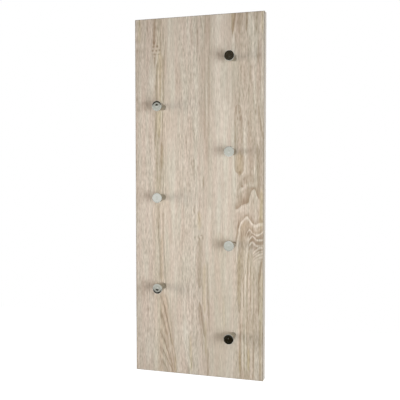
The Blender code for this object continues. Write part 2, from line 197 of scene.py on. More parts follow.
brown_veins = [
    (14, 20, -60, 122, 0, .13), (38, 8, -20, 44, 0, .25), (51, 2.6, 660, 712, 0, .3),
    (61, 3.8, 94, 146, -.09, .5), (62, 6.5, 248, 362, -.02, .55), (65, 8, -60, 84, -.07, .68),
    (65.5, 7, 104, 250, -.012, .45), (66, 7, 335, 470, 0, .35), (67, 3, 36, 80, 0, .4),
    (69, 6.5, 575, 748, .045, .5), (70, 4, 676, 748, .01, .3), (70, 8, 508, 612, 0, .5),
    (70, 11, 440, 515, 0, .12), (70.5, 4.5, 296, 360, 0, .4), (72, 15, -60, 42, 0, .42),
    (74, 3, 816, 910, .28, .6), (75, 3, 882, 990, .375, .6), (75.5, 4, 106, 232, 0, .25),
    (76, 3, 926, 1010, .53, .6), (76, 4, 806, 866, .06, .35), (76.5, 4.5, 874, 914, .08, .32),
    (77, 3, 22, 108, 0, .5), (77, 3, 960, 1030, .53, .5), (77, 5, 396, 482, -.02, .4),
    (80, 9, 335, 432, -.02, .53), (80.2, 3, 786, 932, .235, .6), (82.5, 4.5, 250, 364, -.02, .45),
    (82.5, 4.5, 595, 772, .05, .37), (83, 3.6, 402, 512, 0, .35), (84, 4, 528, 632, 0, .4),
    (84.5, 3.4, 18, 76, 0, .45), (84.5, 5, 96, 242, .01, .5), (91, 3.2, 50, 146, -.03, .45),
    (157, 7, 962, 1080, 0, .4), (161, 3.6, 880, 960, 0, .3), (169, 3.8, 940, 996, .1, .45),
    (171, 3, 786, 862, 0, .35), (174, 3.2, 376, 462, .02, .45), (175, 3, 308, 352, 0, .5),
    (175.5, 3.2, 514, 556, 0, .7), (176, 2.6, 540, 592, 0, .4), (178, 4.5, -60, 110, .06, .35),
    (181, 4.6, 872, 946, 0, .25), (186, 2.8, 530, 578, .13, .5), (186, 3, 594, 634, .12, .5),
    (187, 3.6, -40, 46, .13, .45), (189, 7.5, 788, 866, .07, .5), (190, 3, 100, 300, .02, .22),
    (190, 9, 786, 900, .17, .6), (191, 4.2, 852, 916, .22, .5), (191, 13, 606, 760, 0, .48),
    (194, 4, 878, 938, .15, .45), (198, 3.4, 80, 330, 0, .25), (199, 2.6, 590, 632, 0, .4),
    (200, 3.6, 684, 806, 0, .35), (202.5, 2.8, 432, 484, 0, .7), (206, 4.4, 850, 965, .05, .3),
    (206, 5.5, 50, 345, 0, .36), (207, 6, -40, 60, 0, .42), (211, 19, -60, 84, 0, .28),
    (212, 17, 66, 330, 0, .08), (213, 5, 668, 850, .03, .5), (213, 8, 305, 405, 0, .22),
    (216, 5, 915, 1080, 0, .5), (217, 4.4, 790, 880, .03, .4), (217.5, 6, 104, 336, 0, .37),
    (219.5, 4.4, -10, 116, 0, .35), (250, 36, 590, 1100, 0, .07), (282.5, 3.8, -50, 72, 0, .5),
    (285.5, 2.8, 122, 236, 0, .32), (292.5, 3.8, 48, 108, 0, .45), (293, 12, 116, 266, 0, .15),
    (299, 7, -50, 60, -.15, .8), (303, 11, -50, 62, 0, .45), (304, 3, 196, 250, 0, .3),
    (304.5, 15, 368, 446, 0, .28), (305, 3.8, 556, 634, -.145, .7), (305, 9, 630, 822, 0, .45),
    (306, 6, 522, 588, 0, .2), (308, 3.8, 132, 212, 0, .22), (308, 5.5, 860, 1080, 0, .5),
    (310, 4, -50, 34, 0, .35), (312, 6.5, 588, 662, 0, .4), (313, 3.4, 648, 712, 0, .4),
    (316, 3, 546, 594, -.42, .6), (316.5, 3, 684, 802, 0, .35), (318, 3, 150, 215, 0, .3),
    (318.5, 3.6, 860, 908, 0, .45), (319, 14, 556, 650, 0, .1), (320, 3.8, 922, 982, 0, .45),
    (325, 46, 640, 1100, 0, .06), (327, 3.4, 644, 912, 0, .42), (327, 6, -60, 58, -.04, .7),
    (327, 12, 966, 1080, 0, .35), (329, 4, 878, 958, 0, .4), (329, 9, 452, 530, -.02, .45),
    (330, 3.4, 178, 240, 0, .32), (330.5, 4, 604, 712, 0, .5), (332, 3.6, 128, 196, .02, .3),
    (333, 11, 262, 455, 0, .18), (336, 3.4, 674, 806, 0, .42), (345.5, 3.8, 882, 985, 0, .42),
    (346, 3.6, 728, 816, 0, .38), (347.5, 3, 240, 282, 0, .6), (349, 12, 684, 925, 0, .24),
    (351, 8, -50, 66, 0, .35), (353.5, 5.5, 346, 480, .02, .5), (354, 4.2, 246, 350, .16, .5),
    (354, 6, 452, 505, .08, .5), (355, 4, 66, 142, 0, .38), (358.5, 5, 696, 825, 0, .62),
    (359, 5, 362, 505, 0, .45), (362.5, 5, 824, 1080, 0, .45), (366, 10, 340, 596, 0, .14),
    (368.5, 5.5, 656, 745, -.14, .8),
]
cream_veins = [
    (28, 34, 250, 740, 0, .3), (50.5, 3.6, 0, 66, 0, .4), (53, 4, 152, 205, 0, .35),
    (61, 3.6, 124, 184, -.02, .5), (62, 6, 520, 740, .01, .3), (62, 7, 785, 1080, 0, .35),
    (69.5, 3.2, 84, 158, -.15, .7), (70, 4, 250, 322, 0, .14), (70.5, 3, 138, 240, 0, .42),
    (75, 3.6, 318, 404, -.02, .45), (77.5, 4, 508, 618, 0, .45), (78.5, 3.4, 254, 352, -.01, .5),
    (79, 2.4, 912, 976, .5, .45), (79, 2.6, 804, 950, .245, .5), (79, 2.6, 870, 950, .39, .5),
    (79.5, 3.2, 432, 512, 0, .5), (80, 3.2, 138, 240, 0, .45), (87.5, 3.4, 446, 512, 0, .45),
    (89, 2.8, 44, 92, 0, .4), (89.5, 4, 532, 622, 0, .4), (100.5, 3.6, 54, 132, -.06, .5),
    (104, 8, 300, 510, 0, .3), (110, 15, 118, 262, 0, .3), (112, 16, 610, 790, 0, .2),
    (115, 14, 420, 620, 0, .3), (180.5, 6, 154, 352, 0, .4), (191.5, 3, -40, 52, .13, .5),
    (199, 3, 796, 846, .2, .4), (211.5, 3, 112, 336, 0, .22), (220, 7, 515, 650, 0, .45),
    (222, 6, 640, 800, 0, .3), (246, 18, 120, 268, 0, .35), (248, 24, -60, 108, 0, .4),
    (261, 32, 232, 404, 0, .35), (269, 16, 500, 622, 0, .48), (271, 18, 380, 530, 0, .22),
    (288, 8, 54, 114, 0, .5), (288, 11, 630, 800, 0, .2), (299, 4, 602, 680, -.03, .5),
    (312, 3, 14, 66, 0, .4), (312.3, 4, 548, 650, -.15, .8), (313.5, 3.4, 728, 850, 0, .5),
    (314.5, 3.2, 872, 978, 0, .5), (316.5, 3.6, 62, 152, 0, .35), (318.5, 4, 285, 442, .012, .34),
    (320, 3, 618, 712, 0, .4), (322, 3.4, 698, 802, 0, .5), (323.5, 3.6, 870, 978, 0, .52),
    (325, 3, 628, 712, 0, .35), (331, 3.4, 596, 672, -.06, .65), (331, 4.4, -8, 70, 0, .4),
    (332, 3, 664, 842, 0, .45), (339.5, 3.4, 878, 1005, 0, .45), (341, 3, 728, 838, 0, .35),
    (341.5, 3.2, 12, 198, 0, .6), (343.5, 3.6, 158, 268, .03, .6), (345.5, 3, 408, 488, 0, .45),
    (352, 4, 880, 1000, 0, .25), (352.5, 3, 256, 336, .02, .45), (354.5, 3, 312, 366, .02, .4),
    (366.5, 4, 64, 250, 0, .4),
]
for tone, veins in (("#C0AF8C", ochre_veins), ("#8F7A60", brown_veins), ("#E0D5C5", cream_veins)):
    strongest = 0.0
    for sizes in veins:
        drawn = node(tree, "ShaderNodeGroup", node_tree=vein, named={"Across": across, "Down": down})
        for name, size in zip(vein_sizes, sizes):
            drawn.inputs[name].default_value = size
        strongest = node(tree, "ShaderNodeMath", drawn, strongest, operation="MAXIMUM")
    colour = node(tree, "ShaderNodeMix", strongest, colour, linear(tone), data_type="RGBA")

# Growth lines come and go along their length.
patchy = node(tree, "ShaderNodeMapRange", grain(9, 26, 83), 0.35, 0.65, 0.66, 1.12)


def contours(colour, measure, along, line, rings, window):
    """Draws lines of growth over a colour. The line says how much to take off the measure at places
    along it, the rings are tones and strengths at distances from that line, and the window gives the
    left, right, upper and lower bounds where they start to show and where they show in full."""
    first, last = line[0][0], line[-1][0]
    tallest = max(height for _, height in line)
    share = node(tree, "ShaderNodeMapRange", along, first, last, 0.0, 1.0)
    taken = node(tree, "ShaderNodeFloatCurve", 1.0, share)
    points = taken.mapping.curves[0].points
    for number, (side, height) in enumerate(line):
        at = ((side - first) / (last - first), height / tallest)
        if number in (0, len(line) - 1):
            points[0 if number == 0 else -1].location = at
        else:
            points.new(*at)
    taken.mapping.update()
    away = node(tree, "ShaderNodeMath", taken, -tallest, measure, operation="MULTIPLY_ADD")
    rung = tones_along(tree, away, rings)
    amount = node(tree, "ShaderNodeMath", rung.outputs["Alpha"], patchy, operation="MULTIPLY")
    for value, start, end in zip((across, across, down, down), *window):
        fade = node(tree, "ShaderNodeMapRange", value, start, end, 0.0, 1.0, **soft)
        amount = node(tree, "ShaderNodeMath", amount, fade, operation="MULTIPLY")
    return node(tree, "ShaderNodeMix", amount, colour, rung, data_type="RGBA")


late, early, bed = "#8D765C", "#DFD4C4", "#B7A081"
peaks = {
    # Right-hand cathedral: three nested peaks, whose left flanks run down into the straight veins.
    "first peak": (
        (326, 551),
        [(-36, 150), (-28, 75), (-26, 62), (-24, 48), (-22, 36), (-18, 22), (-12, 11), (-5, 3), (0, 0),
         (5, 5), (10, 12), (16, 19), (22, 22), (27, 22), (33, 19), (39, 17), (46, 16)],
        [(-18, late, 0), (-9, late, .38), (-4, late, .52), (-1, early, .45), (2, early, .75),
         (5, early, .4), (10, bed, .2), (20, bed, .3), (32, late, .26), (44, late, .26), (60, late, 0)],
        ((294, 400, 536, 680), (303, 390, 548, 590))),
    "second peak": (
        (333, 584),
        [(-26, 190), (-20, 110), (-16, 62), (-13, 42), (-11, 28), (-8, 14), (-4, 4), (0, 0), (6, 5),
         (12, 11), (18, 14), (25, 13), (31, 9), (39, 4)],
        [(-10, late, 0), (-5, late, .4), (-1.5, late, .3), (1, early, .5), (3.5, early, .65), (6, late, .3),
         (10, late, .4), (15, late, 0)],
        ((308, 400, 572, 700), (316, 390, 582, 640))),
    "third peak": (
        (341, 601),
        [(-26, 220), (-20, 140), (-13, 80), (-12, 50), (-11, 30), (-10, 17), (-9, 11), (-6, 5), (-3, 2),
         (0, 0), (6, 4), (12, 9), (20, 11), (31, 7)],
        [(-8, late, 0), (-4, late, .5), (-1.5, late, .4), (1, early, .5), (3.5, early, .6), (6, late, .4),
         (10, late, .7), (15, late, .6), (18, early, .4), (21, early, .5), (24, late, .5), (31, late, .45),
         (38, late, 0)],
        ((318, 400, 590, 700), (326, 390, 598, 650))),
    # Arcs under them, which run out over the right-hand edge.
    "arcs": (
        (372, 634),
        [(-40, 70), (-34, 36), (-31, 22), (-28, 14), (-22, 8), (-16, 4), (-10, 1), (4, 0)],
        [(-8, late, 0), (-4, late, .6), (-1, early, .5), (2, early, .55), (5, late, .45), (9, early, .5),
         (13, late, .4), (17, early, .45), (21, late, .35), (25, early, .35), (30, late, .25),
         (36, early, .2), (44, late, 0)],
        ((333, 400, 618, 700), (341, 390, 630, 650))),
    # Flame above them: a dark band over a pale border, which climbs to a tongue at the right.
    "flame": (
        (298, 477),
        [(-6, 58), (0, 56), (5, 53), (12, 46), (20, 42), (30, 39), (33, 32), (35, 22), (38, 11), (43, 3),
         (47, 0), (50, 4), (53, 12), (56, 20), (60, 26), (74, 40)],
        [(-50, late, 0), (-34, late, .15), (-22, late, .36), (-12, late, .58), (-4, late, .74),
         (-1, early, .1), (2, early, .55), (6, early, .35), (14, early, .25), (26, early, 0)],
        ((293, 364, 446, 552), (298, 354, 466, 533))),
    # Second tongue of the flame, behind the first.
    "upper flame": (
        (306, 462),
        [(-8, 24), (2, 16), (9, 10), (15, 5), (22, 1), (30, 0), (40, 2)],
        [(-40, late, 0), (-24, late, .3), (-8, late, .3), (-3, early, .15), (1, early, .4), (5, early, .25),
         (12, late, .1), (20, late, 0)],
        ((298, 352, 424, 500), (308, 342, 440, 480))),
    # Half cathedral at the lower left: a brown wedge, cut off by a straight vein, blunter lower down.
    "half cathedral": (
        (74, 771),
        [(-3, 0), (1, 12), (6, 24), (10, 37), (16, 59), (20, 74), (23, 87), (26, 101), (29, 117), (32, 134),
         (35.5, 159), (38, 179), (42, 214), (46, 249), (66, 429)],
        [(-80, bed, 0), (-64, bed, .25), (-57, late, .32), (-49, late, .45), (-41, bed, .32),
         (-24, bed, .36), (-12, bed, .4), (-5, late, .48), (1, late, .62), (8, late, .44), (16, bed, .4),
         (27, bed, .24), (38, bed, .32), (46, late, .42), (54, late, .56), (62, late, .36), (70, bed, .3),
         (98, bed, 0)],
        ((71.5, 150, 764, 1200), (73.5, 125, 786, 1100))),
    "lower half cathedral": (
        (74, 885),
        [(-3, 0), (0, 3), (3, 8), (10, 17), (14, 25), (18, 34), (22, 46), (26, 66), (30, 83), (33, 100),
         (40, 145), (66, 330)],
        [(-40, bed, 0), (-20, bed, .26), (-8, late, .34), (0, late, .48), (8, late, .33), (18, bed, .3),
         (27, bed, .28), (35, late, .36), (42, late, .5), (50, late, .32), (58, bed, .2), (68, late, .3),
         (77, late, .42), (86, late, .3), (100, bed, .26), (160, bed, .24)],
        ((71.5, 150, 850, 1200), (73.5, 125, 880, 1100))),
}
for (apex_across, apex_down), line, rings, window in peaks.values():
    below = node(tree, "ShaderNodeMath", down, apex_down, operation="SUBTRACT")
    beside = node(tree, "ShaderNodeMath", across, apex_across, operation="SUBTRACT")
    colour = contours(colour, below, beside, line, rings, window)

# Spear: a long closed tongue above the flame, dark along its edge, with a pale halo.
spear_lean, spear_top = 0.022, 294.8
spear_middle = node(tree, "ShaderNodeMath", down, spear_lean, spear_top, operation="MULTIPLY_ADD")
beside = node(tree, "ShaderNodeMath", across, spear_middle, operation="SUBTRACT")
colour = contours(
    colour, node(tree, "ShaderNodeMath", beside, operation="ABSOLUTE"), down,
    [(246, 0), (250, 5.5), (256, 7.5), (265, 8.8), (280, 10.2), (300, 11.5), (340, 12.3), (380, 13),
     (410, 13), (420, 12), (427, 9.5), (431, 7), (434, 4), (436, 0)],
    [(-14, early, .12), (-7, late, .06), (-4.5, late, .28), (-1.5, late, .52), (1, late, .28),
     (3.5, early, .35), (8, early, 0)],
    ((282, 326, 236, 440), (286, 322, 254, 430)))

# Flecks: dark dots where rays of the wood come to the surface. Each is its middle, its level, its
# half width, its half height and its strength.
flecks = [
    (55, 78, 5.5, 5.5, .95), (66.5, 78, 6, 5.5, .85), (53, 88.5, 6, 5, .75), (64, 88.5, 5.5, 5, .8),
    (73.5, 88.5, 5.5, 5, .7), (58, 99, 9, 4.5, .55), (71, 99, 6.5, 4.5, .55), (58, 110, 4, 6, .5),
    (57, 68, 5.5, 8, .8), (304.5, 429, 5.5, 5, .75), (312, 468, 5, 5, .7), (64.5, 405, 4, 7, .5),
    (304, 266, 4, 8, .6), (299, 282, 3.5, 8, .45), (305.5, 286, 3, 7, .4), (177, 611, 2.4, 8, .45),
    (186, 610, 3, 9, .5), (190.5, 615, 3, 7, .5), (196, 605, 5, 4, .5), (200.5, 612, 2.4, 8, .4),
]
darkest = 0.0
for middle, level, half_width, half_height, strength in flecks:
    sideways = node(tree, "ShaderNodeMath", across, 1 / half_width, -middle / half_width,
                    operation="MULTIPLY_ADD")
    upward = node(tree, "ShaderNodeMath", down, 1 / half_height, -level / half_height,
                  operation="MULTIPLY_ADD")
    apart = node(tree, "ShaderNodeCombineXYZ", sideways, upward)
    apart = node(tree, "ShaderNodeVectorMath", apart, operation="LENGTH").outputs["Value"]
    fleck = node(tree, "ShaderNodeMapRange", apart, 0.0, 1.0, strength, 0.0, **soft)
    darkest = node(tree, "ShaderNodeMath", fleck, darkest, operation="MAXIMUM")
colour = node(tree, "ShaderNodeMix", darkest, colour, linear(late), data_type="RGBA")

# Fine grain: streaks, fibres and short pores, bolder where the veins lie close. Real pores are a
# fraction of a millimetre wide, and these are drawn 2 to 3 mm wide so that they show.
streaks = node(tree, "ShaderNodeMapRange", grain(5, 130, 53, 2), 0.3, 0.7, -0.066, 0.066)
fibres = node(tree, "ShaderNodeMapRange", grain(2.6, 60, 61, 1), 0.3, 0.7, -0.17, 0.17)
pores = node(tree, "ShaderNodeMapRange", grain(2.4, 15, 71, 1), 0.25, 0.64, -0.3, 0.175)
fine = node(tree, "ShaderNodeMath", streaks, fibres, operation="ADD")
fine = node(tree, "ShaderNodeMath", fine, pores, operation="ADD")
boldness = [
    (0, .86), (62, .86), (86, .77), (98, .56), (118, .56), (136, .82), (156, 1), (178, .91), (192, .74),
    (206, .54), (285, .5), (300, .86), (372, .86)]
bold = tones_along(tree, across, [(at, "#FFFFFF", strength) for at, strength in boldness])
fine = node(tree, "ShaderNodeMath", fine, bold.outputs["Alpha"], operation="MULTIPLY")

# The grain darkens to brown, so it takes more blue away than red. The print also drifts slowly between
# a pinkish and a greenish cast.
to_brown, to_pink = (0.9, 1.0, 1.15), (1.0, -0.6, -0.5)
shade = node(tree, "ShaderNodeVectorMath", fine, to_brown, (1, 1, 1), operation="MULTIPLY_ADD")
cast = node(tree, "ShaderNodeMapRange", grain(14, 130, 97, 0), 0.3, 0.7, -0.018, 0.018)
shade = node(tree, "ShaderNodeVectorMath", cast, to_pink, shade, operation="MULTIPLY_ADD")
colour = node(tree, "ShaderNodeVectorMath", colour, shade, operation="MULTIPLY")
pore_depth = 0.1 * MM
relief = node(tree, "ShaderNodeBump", 0.25, pore_depth, named={"Height": pores})
node(tree, "ShaderNodeOutputMaterial", node(tree, "ShaderNodeBsdfPrincipled", named={
    "Base Color": colour, "Roughness": 0.55, "Normal": relief}))
dress(["front_facing"], oak)

# Back facing: a plain balancing sheet of resin-soaked paper, without which the board would warp.
# It is pressed on the core as the front one is, and cut out for the holes and the hanger plates.

# Balancing paper: a pale, faintly cloudy brown, dull and slightly felted.
cloud_size, felt_depth = 9 * MM, 0.1 * MM
liner, tree, place = new_material("balancing_paper")
cloudy = node(tree, "ShaderNodeTexNoise", place, 1 / cloud_size, 4.0)
paper = node(tree, "ShaderNodeMix", cloudy, linear("#C3B7A4"), linear("#D2C8B8"), data_type="RGBA")
felt = node(tree, "ShaderNodeBump", 0.15, felt_depth, named={"Height": cloudy})
node(tree, "ShaderNodeOutputMaterial", node(tree, "ShaderNodeBsdfPrincipled", named={
    "Base Color": paper, "Roughness": 0.6, "Normal": felt}))
dress(["back_facing"], liner)

# Edge bands: strips of printed plastic 1 mm thick, glued round the four narrow sides.
# The faces of the bands that look to the front are drawn darker, as a fine line round the front.

# Printed edge band: satin plastic, greyer than the face, with fine lines of grain along its length.
band_grain = (1 / (40 * MM), 1 / (1.5 * MM), 1 / (120 * MM))
banding, tree, place = new_material("printed_edge_band")
along = node(tree, "ShaderNodeMapping", place, None, None, band_grain)
lines = node(tree, "ShaderNodeTexNoise", along, 1.0, 3.0)
print_tone = node(tree, "ShaderNodeMix", lines, linear("#B3A697"), linear("#CBC3B7"), data_type="RGBA")
# A band's faces that look to the front take a darker tone.
facing_way = node(tree, "ShaderNodeSeparateXYZ", node(tree, "ShaderNodeNewGeometry").outputs["True Normal"])
facing_front = node(tree, "ShaderNodeMath", facing_way.outputs["Y"], -0.5, operation="LESS_THAN")
print_tone = node(tree, "ShaderNodeMix", facing_front, print_tone, linear("#857867"), data_type="RGBA")
node(tree, "ShaderNodeOutputMaterial", node(tree, "ShaderNodeBsdfPrincipled", named={
    "Base Color": print_tone, "Roughness": 0.5}))
dress(["edge_band_left", "edge_band_right", "edge_band_top", "edge_band_bottom"], banding)

# Pegs: cones turned from bar, wide end to the front, then nickel plated and polished.
# The small end seats on the facing, and the face keeps a low pip from the turning centre.
PEGS = range(1, 8)
peg_low, peg_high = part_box("peg_1")
peg_column = (peg_low.x + peg_high.x) / 2
peg_height = (peg_low.z + peg_high.z) / 2
peg_step = peg_high.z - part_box("peg_2")[1].z
face_radius, base_radius = (peg_high.z - peg_low.z) / 2, 8 * MM
rim_round, rim_turn, base_round = 0.8 * MM, 95, 0.5 * MM
crown_radius, crown_drop = 8.8 * MM, 0.105 * MM
pip_radius, pip_height = 5.4 * MM, 0.175 * MM
bore_radius, bore_depth = 2.8 * MM, 12 * MM


def closed(shape, name):
    """The mesh of a closed shape, with its faces turned outwards."""
    bmesh.ops.recalc_face_normals(shape, faces=shape.faces)
    mesh = bpy.data.meshes.new(name)
    shape.to_mesh(mesh)
    shape.free()
    return mesh


def smoothed(mesh):
    """A mesh that is shaded smooth, apart from its sharp edges."""
    mesh.shade_smooth()
    mesh.set_sharp_from_angle(angle=math.radians(40))
    return mesh


def turned(name, outline, sides):
    """A closed solid turned about the Y axis, from points of radius and depth. The outline starts and
    ends on the axis, or else it is a loop."""
    shape = bmesh.new()
    rings = []
    for radius, depth in outline:
        turns = [2 * math.pi * k / sides for k in range(sides if radius else 1)]
        rings.append([shape.verts.new((radius * math.sin(a), depth, radius * math.cos(a))) for a in turns])
    for ring, following in zip(rings, rings[1:] if outline[0][0] == 0 else rings[1:] + rings[:1]):
        for k in range(sides):
            corners = [ring[k % len(ring)], ring[(k + 1) % len(ring)],
                       following[(k + 1) % len(following)], following[k % len(following)]]
            shape.faces.new(dict.fromkeys(corners))
    return smoothed(closed(shape, name))


def ease(share):
    """A smooth step from 0 to 1."""
    share = min(max(share, 0.0), 1.0)
    return share * share * (3 - 2 * share)


# The rounding of the rim turns a little past the square, so that it runs into the cone.
face_y, seat_y = peg_low.y, peg_high.y
flat_radius = face_radius - rim_round
face_steps, rim_steps, cone_steps, peg_sides = 24, 8, 4, 96
peg_outline = []
for k in range(face_steps + 1):
    radius = flat_radius * k / face_steps
    pip = pip_height * (1 - ease(radius / pip_radius))
    crown = crown_drop * max(0, (radius - crown_radius) / (flat_radius - crown_radius)) ** 2
    peg_outline.append((radius, face_y + pip_height - pip + crown))
lip_y = peg_outline[-1][1]
for k in range(1, rim_steps + 1):
    turn = math.radians(rim_turn * k / rim_steps)
    peg_outline.append((flat_radius + rim_round * math.sin(turn), lip_y + rim_round * (1 - math.cos(turn))))
cone_y = lip_y + rim_round
for k in range(1, cone_steps + 1):
    share = k / cone_steps
    peg_outline.append((face_radius + (base_radius - face_radius) * share,
                        cone_y + (seat_y - base_round - cone_y) * share))
peg_outline += [(base_radius - base_round, seat_y), (bore_radius, seat_y),
                (bore_radius, seat_y - bore_depth), (0, seat_y - bore_depth)]

# Two columns: places down the panel, alternately right and left of its middle. With one to a row
# they make a zigzag, and with two to a row, level pairs.
columns = bpy.data.node_groups.new("two columns", "GeometryNodeTree")
columns.interface.new_socket("One", in_out="INPUT", socket_type="NodeSocketGeometry")
for name in ("Count", "In a row"):
    columns.interface.new_socket(name, in_out="INPUT", socket_type="NodeSocketInt")
for name in ("Step", "Column", "First height"):
    columns.interface.new_socket(name, in_out="INPUT", socket_type="NodeSocketFloat")
columns.interface.new_socket("Finish", in_out="INPUT", socket_type="NodeSocketMaterial")
columns.interface.new_socket("All", in_out="OUTPUT", socket_type="NodeSocketGeometry")
given = node(columns, "NodeGroupInput").outputs
index = node(columns, "GeometryNodeInputIndex")
odd = node(columns, "ShaderNodeMath", index, 2.0, operation="MODULO")
side = node(columns, "ShaderNodeMath", odd, -2.0, 1.0, operation="MULTIPLY_ADD")
sideways = node(columns, "ShaderNodeMath", side, given["Column"], operation="MULTIPLY")
rows = node(columns, "ShaderNodeMath", index, given["In a row"], operation="DIVIDE")
rows = node(columns, "ShaderNodeMath", rows, operation="FLOOR")
lowered = node(columns, "ShaderNodeMath", rows, given["Step"], operation="MULTIPLY")
height = node(columns, "ShaderNodeMath", given["First height"], lowered, operation="SUBTRACT")
station = node(columns, "ShaderNodeCombineXYZ", sideways, 0.0, height)
points = node(columns, "GeometryNodeMeshLine", given["Count"])
points = node(columns, "GeometryNodeSetPosition", points, named={"Position": station})
copies = node(columns, "GeometryNodeInstanceOnPoints", points, named={"Instance": given["One"]})
solid = node(columns, "GeometryNodeRealizeInstances", copies)
finished = node(columns, "GeometryNodeSetMaterial", solid, named={"Material": given["Finish"]})
node(columns, "NodeGroupOutput", finished)


def repeated(name, one, tree, sizes):
    """One mesh, repeated by a node tree, as one plain mesh piece."""
    piece = bpy.data.objects.new(name, one)
    bpy.context.scene.collection.objects.link(piece)
    repeat = piece.modifiers.new("repeat", "NODES")
    repeat.node_group = tree
    for socket in tree.interface.items_tree:
        if socket.name in sizes:
            repeat[socket.identifier] = sizes[socket.name]
    made = bpy.data.meshes.new_from_object(piece.evaluated_get(bpy.context.evaluated_depsgraph_get()))
    piece.modifiers.remove(repeat)
    piece.data = made
    return piece


# Polished nickel: a clear, faintly warm mirror, with only the softest trace of the polishing mop.
mop_mark, nickel_glint = 2.5 * MM, (0.72, 0.7, 0.66, 1)
nickel, tree, place = new_material("polished_nickel")
mop = node(tree, "ShaderNodeTexNoise", place, 1 / mop_mark, 3.0)
gloss = node(tree, "ShaderNodeMapRange", mop, 0.3, 0.7, 0.07, 0.12)
node(tree, "ShaderNodeOutputMaterial", node(tree, "ShaderNodeBsdfPrincipled", named={
    "Base Color": linear("#BFC0BA"), "Metallic": 1.0, "Roughness": gloss, "Specular Tint": nickel_glint}))

stations = {
    "Count": len(PEGS), "In a row": 1, "Step": peg_step, "Column": peg_column, "First height": peg_height}
pegs = repeated("pegs", turned("peg", peg_outline, peg_sides), columns, stations | {"Finish": nickel})
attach(pegs, "root")
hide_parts(*[f"peg_{k}" for k in PEGS])

# Peg washers: flat rings punched from steel strip, one at the bottom of each counterbore.
# They spread the pull of a screw over the soft core.
washer_low, washer_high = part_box("peg_washer_1")
washer_radius, washer_bore, washer_round = (washer_high.z - washer_low.z) / 2, 2.9 * MM, 0.25 * MM
corner_steps, washer_sides = 3, 48
washer_outline = []
for corner in range(4):
    middle = washer_radius - washer_round if corner < 2 else washer_bore + washer_round
    level = washer_low.y + washer_round if corner in (0, 3) else washer_high.y - washer_round
    for k in range(corner_steps + 1):
        turn = math.radians(90 * (corner + k / corner_steps))
        washer_outline.append((middle + washer_round * math.sin(turn),
                               level - washer_round * math.cos(turn)))

# Zinc plate: light grey with a fine bloom, which blurs what it reflects.
bloom_size = 1.5 * MM
zinc, tree, place = new_material("zinc_plated_steel")
bloom = node(tree, "ShaderNodeTexNoise", place, 1 / bloom_size, 3.0)
zinc_tone = node(tree, "ShaderNodeMix", bloom, linear("#A4A8AC"), linear("#C9CDD0"), data_type="RGBA")
zinc_gloss = node(tree, "ShaderNodeMapRange", bloom, 0.3, 0.7, 0.28, 0.45)
node(tree, "ShaderNodeOutputMaterial", node(tree, "ShaderNodeBsdfPrincipled", named={
    "Base Color": zinc_tone, "Metallic": 1.0, "Roughness": zinc_gloss}))

washer_mesh = turned("washer", washer_outline, washer_sides)
washers = repeated("peg_washers", washer_mesh, columns, stations | {"Finish": zinc})
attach(washers, "root")
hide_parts(*[f"peg_washer_{k}" for k in PEGS])

# Peg screws: machine screws with a cross recess, driven from the back into the bores of the pegs.
# They are cold headed and thread rolled from steel wire, then zinc plated.
screw_low, screw_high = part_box("peg_screw_1")
head_radius, head_depth, head_round = (screw_high.z - screw_low.z) / 2, 3.7 * MM, 1.6 * MM
shank_radius, neck, tip_chamfer = 2.5 * MM, 1.0 * MM, 0.6 * MM
screw_pitch, screw_thread = 0.8 * MM, 0.45 * MM
recess_span, recess_arm, recess_depth, recess_taper = 4.8 * MM, 1.1 * MM, 1.6 * MM, 0.6
recess_over, head_steps, rings_in_turn, screw_sides = 0.2 * MM, 6, 6, 32


def shank(radius, top, bottom, pitch):
    """Outline of a shank with rings enough for a thread."""
    count = round((top - bottom) / pitch * rings_in_turn)
    return [(radius, top + (bottom - top) * k / count) for k in range(count + 1)]


def thread(mesh, radius, top, bottom, pitch, depth):
    """Rolls a thread into a shank, which runs out at both of its ends."""
    for vertex in mesh.vertices:
        x, y, z = vertex.co
        if math.isclose(math.hypot(x, z), radius, abs_tol=0.01 * MM):
            turns = y / pitch + math.atan2(x, z) / (2 * math.pi)
            run_out = ease((top - y) / pitch) * ease((y - bottom) / pitch)
            cut = run_out * depth * (0.5 - 0.5 * math.cos(2 * math.pi * turns)) / radius
            vertex.co = (x * (1 - cut), y, z * (1 - cut))


def prism(name, outline, front, back, taper=1.0):
    """A closed solid between two depths, from an outline of X and Z, narrowed at its front end."""
    shape = bmesh.new()
    ends = [[shape.verts.new((x * size, depth, z * size)) for x, z in outline]
            for depth, size in ((front, taper), (back, 1.0))]
    for end in ends:
        shape.faces.new(end)
    for k in range(len(outline)):
        shape.faces.new((ends[0][k - 1], ends[0][k], ends[1][k], ends[1][k - 1]))
    return closed(shape, name)


def carved(mesh, cutter):
    """A mesh with another one cut out of it."""
    whole, knife = (bpy.data.objects.new(part.name, part) for part in (mesh, cutter))
    cut = whole.modifiers.new("cut", "BOOLEAN")
    cut.object, cut.operation, cut.solver = knife, "DIFFERENCE", "EXACT"
    for part in (whole, knife):
        bpy.context.scene.collection.objects.link(part)
    made = bpy.data.meshes.new_from_object(whole.evaluated_get(bpy.context.evaluated_depsgraph_get()))
    for part in (whole, knife):
        bpy.data.objects.remove(part)
    return smoothed(made)


def cross_recess(face):
    """The space that a cross-head driver fills below the face of a screw's head."""
    half, wing = recess_span / 2, recess_arm / 2
    quarter = [(wing, half), (wing, wing), (half, wing)]
    outline = []
    for _ in range(4):
        outline += quarter
        quarter = [(z, -x) for x, z in quarter]
    return prism("recess", outline, face - recess_depth, face + recess_over, recess_taper)


